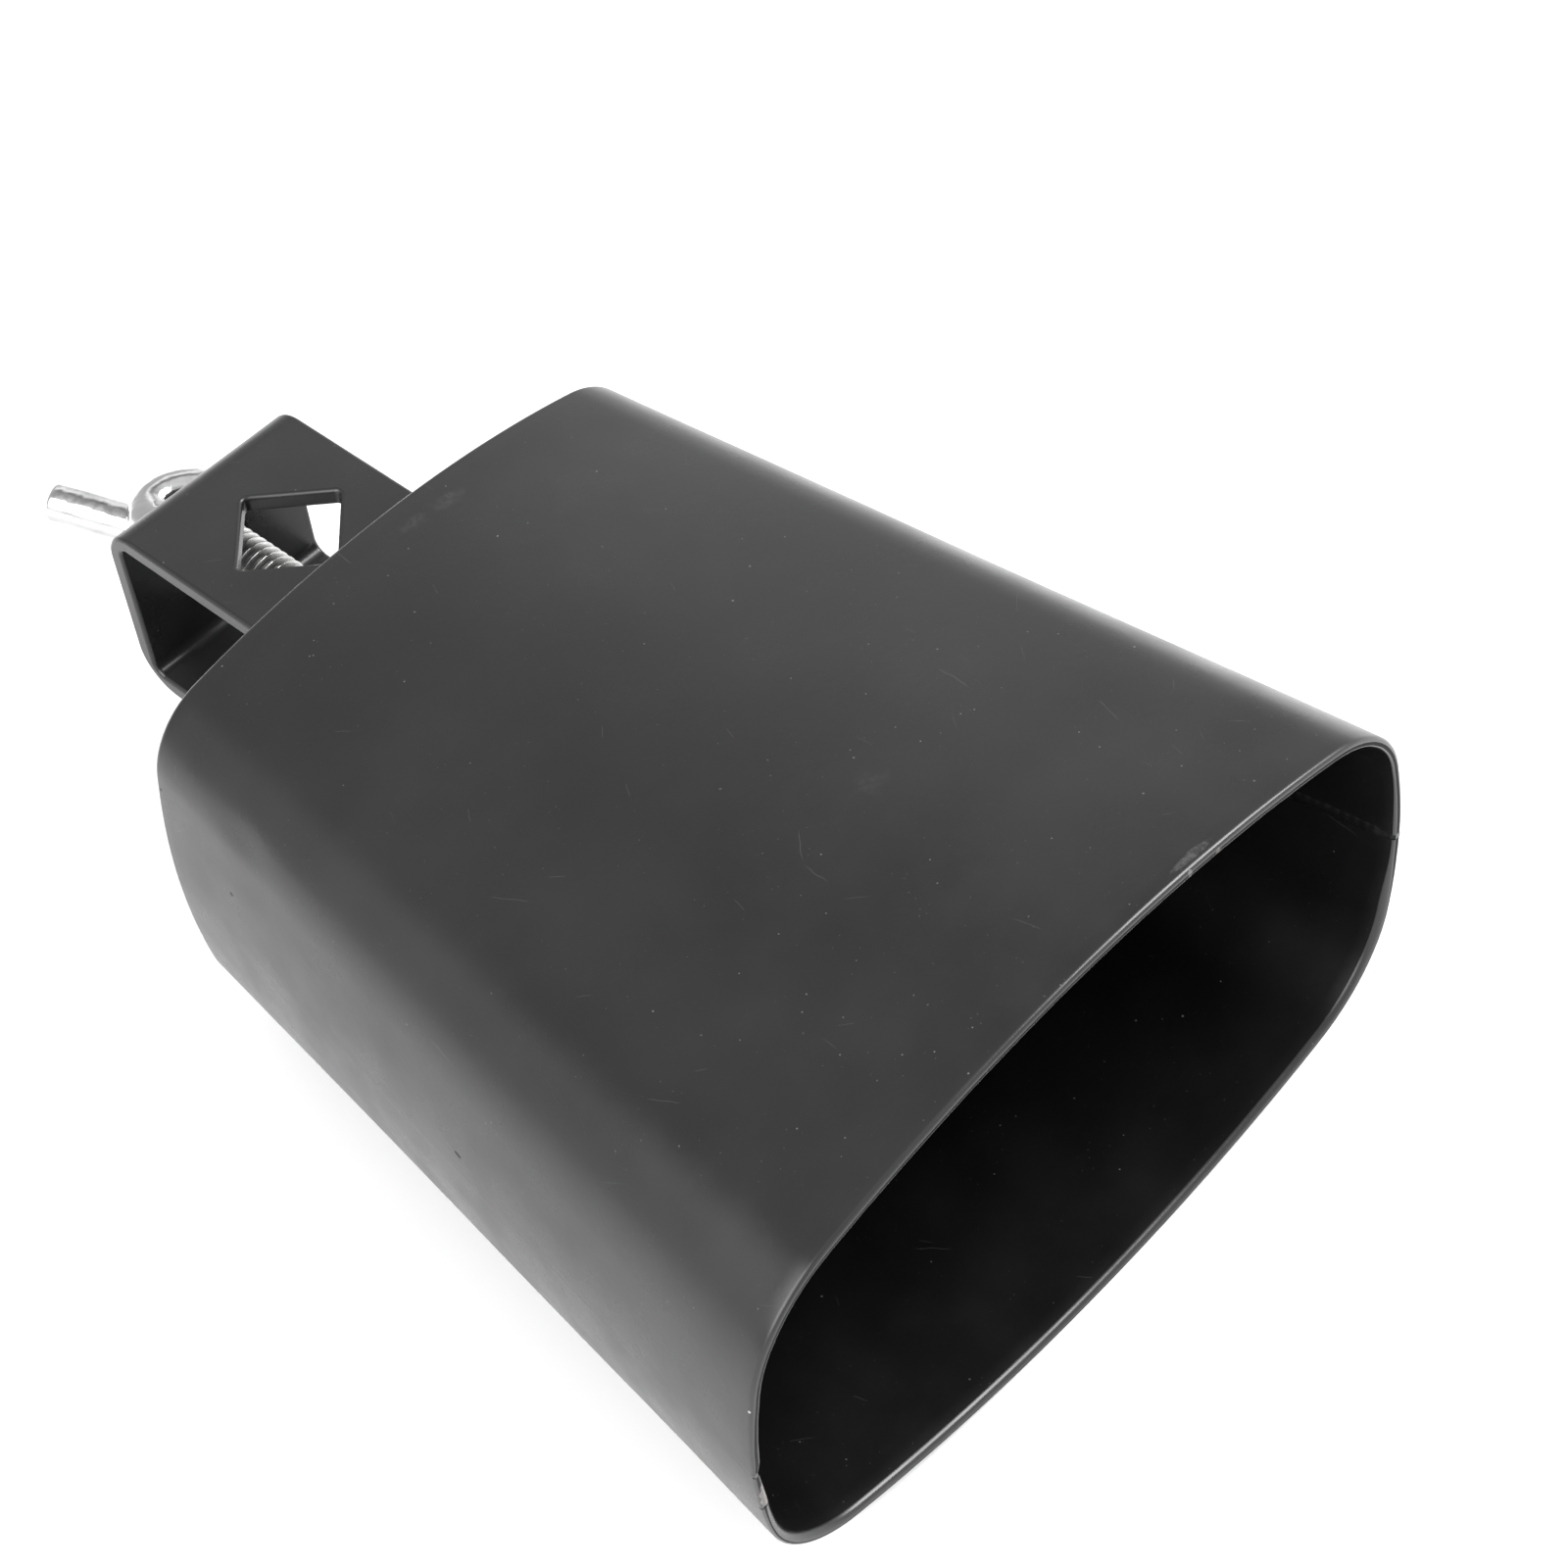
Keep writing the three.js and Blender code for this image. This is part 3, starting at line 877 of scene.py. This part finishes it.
def rod_hole_outline():
    """A square with small corner radii, one corner towards the bell."""
    reach = ROD_HOLE["side"] / 2 - ROD_HOLE["corner"]
    outline = []
    for quarter in range(4):
        middle = math.pi / 4 + quarter * math.pi / 2
        centre = Vector((math.cos(middle), math.sin(middle))) * reach * math.sqrt(2)
        for step in range(HOLE_CORNER_STEPS + 1):
            angle = middle - math.pi / 4 + math.pi / 2 * step / HOLE_CORNER_STEPS
            p = centre + Vector((math.cos(angle), math.sin(angle))) * ROD_HOLE["corner"]
            outline.append(Matrix.Rotation(math.pi / 4, 2) @ p)
    return outline


def apply_modifiers(piece):
    """Bakes the modifiers into the piece's own mesh."""
    graph = bpy.context.evaluated_depsgraph_get()
    mesh = bpy.data.meshes.new_from_object(piece.evaluated_get(graph))
    piece.modifiers.clear()
    piece.data = mesh
    return piece


def bracket_cutters():
    """The square bar and the drill that leave the strap's holes."""
    square = prism(
        "square_cutter", rod_hole_outline(), -STRAP_HEIGHT, STRAP_HEIGHT,
        lambda x, y, z: (x, ROD_HOLE["y"] + y, SCREW_Z + z),
    )
    radius = SCREW_RADIUS + TAPPED_GAP
    turns = [2 * math.pi * i / TAPPED_SIDES for i in range(TAPPED_SIDES)]
    circle = [(radius * math.cos(t), radius * math.sin(t)) for t in turns]
    drill = prism(
        "round_cutter", circle, STRAP_BACK - DRILL_REACH, STRAP_BACK + DRILL_REACH,
        lambda x, z, y: (x, y, SCREW_Z + z),
    )
    return square, drill


def mounting_bracket(material):
    """The bent strap with its two square rod holes and its tapped hole, edges softened."""
    half = STRAP_WIDTH / 2
    strap = prism(
        "bracket_strap", strap_outline(), -half, half, lambda y, z, x: (x, y, SCREW_Z + z),
    )
    cutters = bracket_cutters()
    for cutter in cutters:
        cut = strap.modifiers.new(cutter.name, "BOOLEAN")
        cut.object = cutter
        cut.operation = "DIFFERENCE"
        cut.solver = "EXACT"
    soften = strap.modifiers.new("softened_edges", "BEVEL")
    soften.width = STRAP_EDGE * MM
    soften.segments = EDGE_SEGMENTS
    soften.limit_method = "ANGLE"
    soften.angle_limit = EDGE_ANGLE
    soften.harden_normals = True
    apply_modifiers(strap)
    for cutter in cutters:
        bpy.data.objects.remove(cutter)
    strap.data.materials.clear()
    strap.data.materials.append(material)
    return strap


# ---- the clamp screw ----
THREAD_SIDES = 56
ROWS_PER_PITCH = 14
TIP_CHAMFER = 1.0
SHOULDER_CHAMFER = 0.5


def thread_radius(y, angle):
    """Radius of a right-hand rolled thread, rounded at crest and root, chamfered at both ends."""
    phase = (y / THREAD_PITCH + angle / (2 * math.pi)) % 1.0
    from_root = abs(phase - 0.5) * 2
    radius = SCREW_RADIUS - THREAD_DEPTH * (1 - smooth_step(0.05, 0.95, from_root))
    from_tip = SCREW_RADIUS - TIP_CHAMFER + (y - SCREW_TIP)
    from_shoulder = SCREW_RADIUS - SHOULDER_CHAMFER + (SCREW_SHOULDER - y)
    return min(radius, from_tip, from_shoulder)


def thread_point(y, angle):
    radius = thread_radius(y, angle)
    return Vector((radius * math.cos(angle), y, SCREW_Z + radius * math.sin(angle)))


def clamp_screw_thread(material):
    """The threaded shank, its rows following the helix so that the crests stay crisp."""
    first = SCREW_TIP - THREAD_PITCH
    count = int(((SCREW_SHOULDER - first) / THREAD_PITCH + 1) * ROWS_PER_PITCH) + 2
    points = []
    for row in range(count):
        for side in range(THREAD_SIDES):
            turn = side / THREAD_SIDES
            y = first + THREAD_PITCH * (row / ROWS_PER_PITCH - turn)
            y = min(SCREW_SHOULDER, max(SCREW_TIP, y))
            points.append(thread_point(y, 2 * math.pi * turn))
    faces = helix_faces(count)
    for end_y in (SCREW_TIP, SCREW_SHOULDER):
        centre = len(points)
        points.append(Vector((0, end_y, SCREW_Z)))
        for side in range(THREAD_SIDES):
            points.append(thread_point(end_y, 2 * math.pi * side / THREAD_SIDES))
            after = (side + 1) % THREAD_SIDES
            faces.append((centre, centre + 1 + side, centre + 1 + after))
    return make_object("clamp_screw_thread", points, faces, [material], SCREW_SHARP_ANGLE)


def helix_faces(count):
    """Faces between helical rows: past its last side, a row goes on as the row a pitch back."""
    faces = []
    for row in range(count - 1):
        this, after = row * THREAD_SIDES, (row + 1) * THREAD_SIDES
        for side in range(THREAD_SIDES - 1):
            faces.append((this + side, this + side + 1, after + side + 1, after + side))
        if row >= ROWS_PER_PITCH:
            back = (row - ROWS_PER_PITCH) * THREAD_SIDES
            end = THREAD_SIDES - 1
            faces.append((this + end, back, back + THREAD_SIDES, after + end))
    return faces


def catmull_rom(route, per_span):
    """Points on the centripetal Catmull-Rom curve through a route."""
    route = [Vector(p) for p in route]
    ends = [2 * route[0] - route[1]] + route + [2 * route[-1] - route[-2]]
    line = []
    for i in range(1, len(ends) - 2):
        p0, p1, p2, p3 = ends[i - 1:i + 3]
        d0, d1, d2 = (math.sqrt((b - a).length) for a, b in ((p0, p1), (p1, p2), (p2, p3)))
        start = ((p1 - p0) / d0 - (p2 - p0) / (d0 + d1) + (p2 - p1) / d1) * d1
        end = ((p2 - p1) / d1 - (p3 - p1) / (d1 + d2) + (p3 - p2) / d2) * d1
        for step in range(per_span):
            t = step / per_span
            line.append(
                (2 * t**3 - 3 * t**2 + 1) * p1 + (t**3 - 2 * t**2 + t) * start
                + (-2 * t**3 + 3 * t**2) * p2 + (t**3 - t**2) * end
            )
    return line + [route[-1]]


HANDLE_SIDES = 56
HANDLE_PER_SPAN = 20
NECK_LENGTH = 3.2
NECK_FOOT = 4.4
END_ROUND = 0.7
END_STEPS = 5
END_GAP = 0.2  # the last plain station's distance from the rounded end


def handle_stations():
    """(centre, direction, radius) along the bent rod, from its neck to its sawn end."""
    line = catmull_rom(HANDLE_ROUTE, HANDLE_PER_SPAN)
    line[0] = Vector((0, SCREW_SHOULDER + 0.02, SCREW_Z))
    lengths = [0.0]
    for a, b in zip(line, line[1:]):
        lengths.append(lengths[-1] + (b - a).length)
    stations = []
    for i, centre in enumerate(line):
        direction = (line[min(i + 1, len(line) - 1)] - line[max(i - 1, 0)]).normalized()
        neck = (1 - smooth_step(0.0, NECK_LENGTH, lengths[i])) * (NECK_FOOT - HANDLE_RADIUS)
        stations.append((centre, direction, HANDLE_RADIUS + neck))
    stations[0] = (line[0], Vector((0, 1, 0)), NECK_FOOT)
    end, heading = line[-1], stations[-1][1]
    total = lengths[-1]
    last = total - END_ROUND - END_GAP
    kept = [station for station, length in zip(stations, lengths) if length < last]
    for step in range(END_STEPS + 1):
        angle = math.pi / 2 * step / END_STEPS
        back = END_ROUND * (1 - math.sin(angle))
        radius = HANDLE_RADIUS - END_ROUND * (1 - math.cos(angle))
        kept.append((end - heading * back, heading, radius))
    return kept


def clamp_screw_rod(material):
    """The handle, swept without twist along its bent centre line."""
    rings = []
    side_axis = Vector((1, 0, 0))
    for centre, direction, radius in handle_stations():
        side_axis = (side_axis - direction * side_axis.dot(direction)).normalized()
        up_axis = direction.cross(side_axis)
        ring = []
        for side in range(HANDLE_SIDES):
            angle = 2 * math.pi * side / HANDLE_SIDES
            ring.append(centre + (side_axis * math.cos(angle) + up_axis * math.sin(angle)) * radius)
        rings.append(ring)
    return capped_tube("clamp_screw_rod", rings, [material], SCREW_SHARP_ANGLE)


# ---- assembly ----
INNER_GLOSS = (0.34, 0.44)
INNER_SPECULAR = 0.17

# the inside's paint, with darker colours than the outer paint as painted shade for the hollow
inner_shaded_paint = Paint("inner_shaded_black_paint", INNER_GLOSS, INNER_SPECULAR, INNER_SHADED_PAINT, INNER_SHADED_WORN)
inner_shaded_black = inner_shaded_paint.finish()
bell_finishes = [bell_paint(), rim_paint(), inner_shaded_black]
weld_black = Paint("weld_black_paint").finish()
bead_finishes = [weld_black, inner_shaded_black]
bracket_black = Paint("bracket_black_paint").finish()

upper_half = half_shell("bell_upper_half", 1, bell_finishes)
lower_half = half_shell("bell_lower_half", -1, bell_finishes)
left_bead = side_bead("left_seam_bead", -1, bead_finishes)
right_bead = side_bead("right_seam_bead", 1, bead_finishes)
heel_seam = heel_bead("heel_seam_bead", bead_finishes)
bracket = mounting_bracket(bracket_black)
upper_fillet = fillet_bead("upper_bracket_bead", 1, weld_black)
lower_fillet = fillet_bead("lower_bracket_bead", -1, weld_black)
thread = clamp_screw_thread(thread_metal())
rod = clamp_screw_rod(handle_metal())

ride_on(upper_half, "bell", "black_paint", "upper_shell")
ride_on(lower_half, "bell", "black_paint", "lower_shell")
ride_on(left_bead, "bell", "painted_weld", "left_seam_weld")
ride_on(right_bead, "bell", "painted_weld", "right_seam_weld")
ride_on(heel_seam, "bell", "painted_weld", "heel_seam_weld")
ride_on(bracket, "bell", "bracket_paint", "mounting_bracket")
ride_on(upper_fillet, "bell", "painted_weld", "upper_bracket_weld")
ride_on(lower_fillet, "bell", "painted_weld", "lower_bracket_weld")
ride_on(thread, "screw_handle", "plated_thread", "clamp_screw_shank")
ride_on(rod, "screw_handle", "plated_steel", "clamp_screw_handle")


# ---- floor, lights and camera, in metres ----
FLOOR_REACH = 3.0
BELL_MIDDLE = (0.0, 0.0, 0.03)


def make_floor():
    corners = [(-FLOOR_REACH, -FLOOR_REACH), (FLOOR_REACH, -FLOOR_REACH)]
    corners += [(FLOOR_REACH, FLOOR_REACH), (-FLOOR_REACH, FLOOR_REACH)]
    mesh = bpy.data.meshes.new("floor")
    mesh.from_pydata([(x, y, floor_height) for x, y in corners], [], [(0, 1, 2, 3)])
    mesh.materials.append(floor_material())
    floor = bpy.data.objects.new("floor", mesh)
    bpy.context.scene.collection.objects.link(floor)


def make_softbox(name, location, side, power):
    """A square soft light that faces the bell's middle."""
    light = bpy.data.lights.new(name, "AREA")
    light.shape = "RECTANGLE"
    light.size = light.size_y = side
    light.energy = power
    box = bpy.data.objects.new(name, light)
    box.location = location
    box.rotation_mode = "QUATERNION"
    box.rotation_quaternion = (Vector(BELL_MIDDLE) - Vector(location)).to_track_quat("-Z", "Y")
    bpy.context.scene.collection.objects.link(box)


# the studio's brightness by the sine of the elevation, horizon to zenith
STUDIO_SHADES = ((0.0, 1.22), (0.48, 0.98), (0.57, 1.15), (0.70, 0.78), (0.80, 0.42), (0.90, 0.80))
# a factor on it by how far a direction points to +Y, from the bell's side to behind the heel
STUDIO_DEPTHS = (
    (0.0, 1.15), (0.15, 1.15), (0.32, 0.66), (0.43, 0.58), (0.60, 1.38), (0.66, 1.1), (0.76, 0.6),
)


def studio_ramp(tree, value, table):
    """A colour ramp's output, grey by a table of (position, shade)."""
    ramp = tree.nodes.new("ShaderNodeValToRGB")
    stops = ramp.color_ramp.elements
    while len(stops) < len(table):
        stops.new(0.5)
    for stop, (position, shade) in zip(stops, table):
        stop.position = position
        stop.color = grey(shade)
    tree.links.new(value, ramp.inputs[0])
    return ramp.outputs[0]


def make_world():
    """A white studio: bright low down, darker overhead and in bands towards the heel."""
    world = bpy.data.worlds.new("white_studio")
    bpy.context.scene.world = world
    world.use_nodes = True
    tree = world.node_tree
    coordinates = tree.nodes.new("ShaderNodeTexCoord")
    split = tree.nodes.new("ShaderNodeSeparateXYZ")
    tree.links.new(coordinates.outputs["Generated"], split.inputs[0])
    sky = tree.nodes["Background"].inputs
    tree.links.new(studio_ramp(tree, split.outputs["Z"], STUDIO_SHADES), sky["Color"])
    tree.links.new(studio_ramp(tree, split.outputs["Y"], STUDIO_DEPTHS), sky["Strength"])


# the camera's place, from the photograph's viewing angle
CAMERA_AZIMUTH = math.radians(-42.487)
CAMERA_ELEVATION = math.radians(49.161)
CAMERA_ROLL = math.radians(-6.562)
CAMERA_DISTANCE = 0.51069
CAMERA_TARGET = Vector((0.0215536, -0.0282662, 0.0317661))
SENSOR_WIDTH = 36.0  # millimetres, as is the lens
LENS = 82.52
CLIP_START = 0.02
CLIP_END = 20.0


def make_camera():
    camera = bpy.data.cameras.new("camera")
    camera.sensor_width = SENSOR_WIDTH
    camera.lens = LENS
    camera.clip_start = CLIP_START
    camera.clip_end = CLIP_END
    flat = math.cos(CAMERA_ELEVATION)
    back = Vector((
        math.sin(CAMERA_AZIMUTH) * flat,
        -math.cos(CAMERA_AZIMUTH) * flat,
        math.sin(CAMERA_ELEVATION),
    ))
    place_of_camera = Matrix.Translation(CAMERA_TARGET + back * CAMERA_DISTANCE)
    facing = (-back).to_track_quat("-Z", "Y").to_matrix().to_4x4()
    holder = bpy.data.objects.new("camera", camera)
    holder.matrix_world = place_of_camera @ facing @ Matrix.Rotation(CAMERA_ROLL, 4, "Z")
    bpy.context.scene.collection.objects.link(holder)
    bpy.context.scene.camera = holder


make_floor()
make_world()
make_softbox("left_softbox", location=(-1.60, -0.10, 1.45), side=1.9, power=58.0)
make_softbox("rim_softbox", location=(0.76, -0.50, 0.86), side=0.6, power=17.5)
make_camera()
bpy.context.scene.view_settings.view_transform = "Standard"
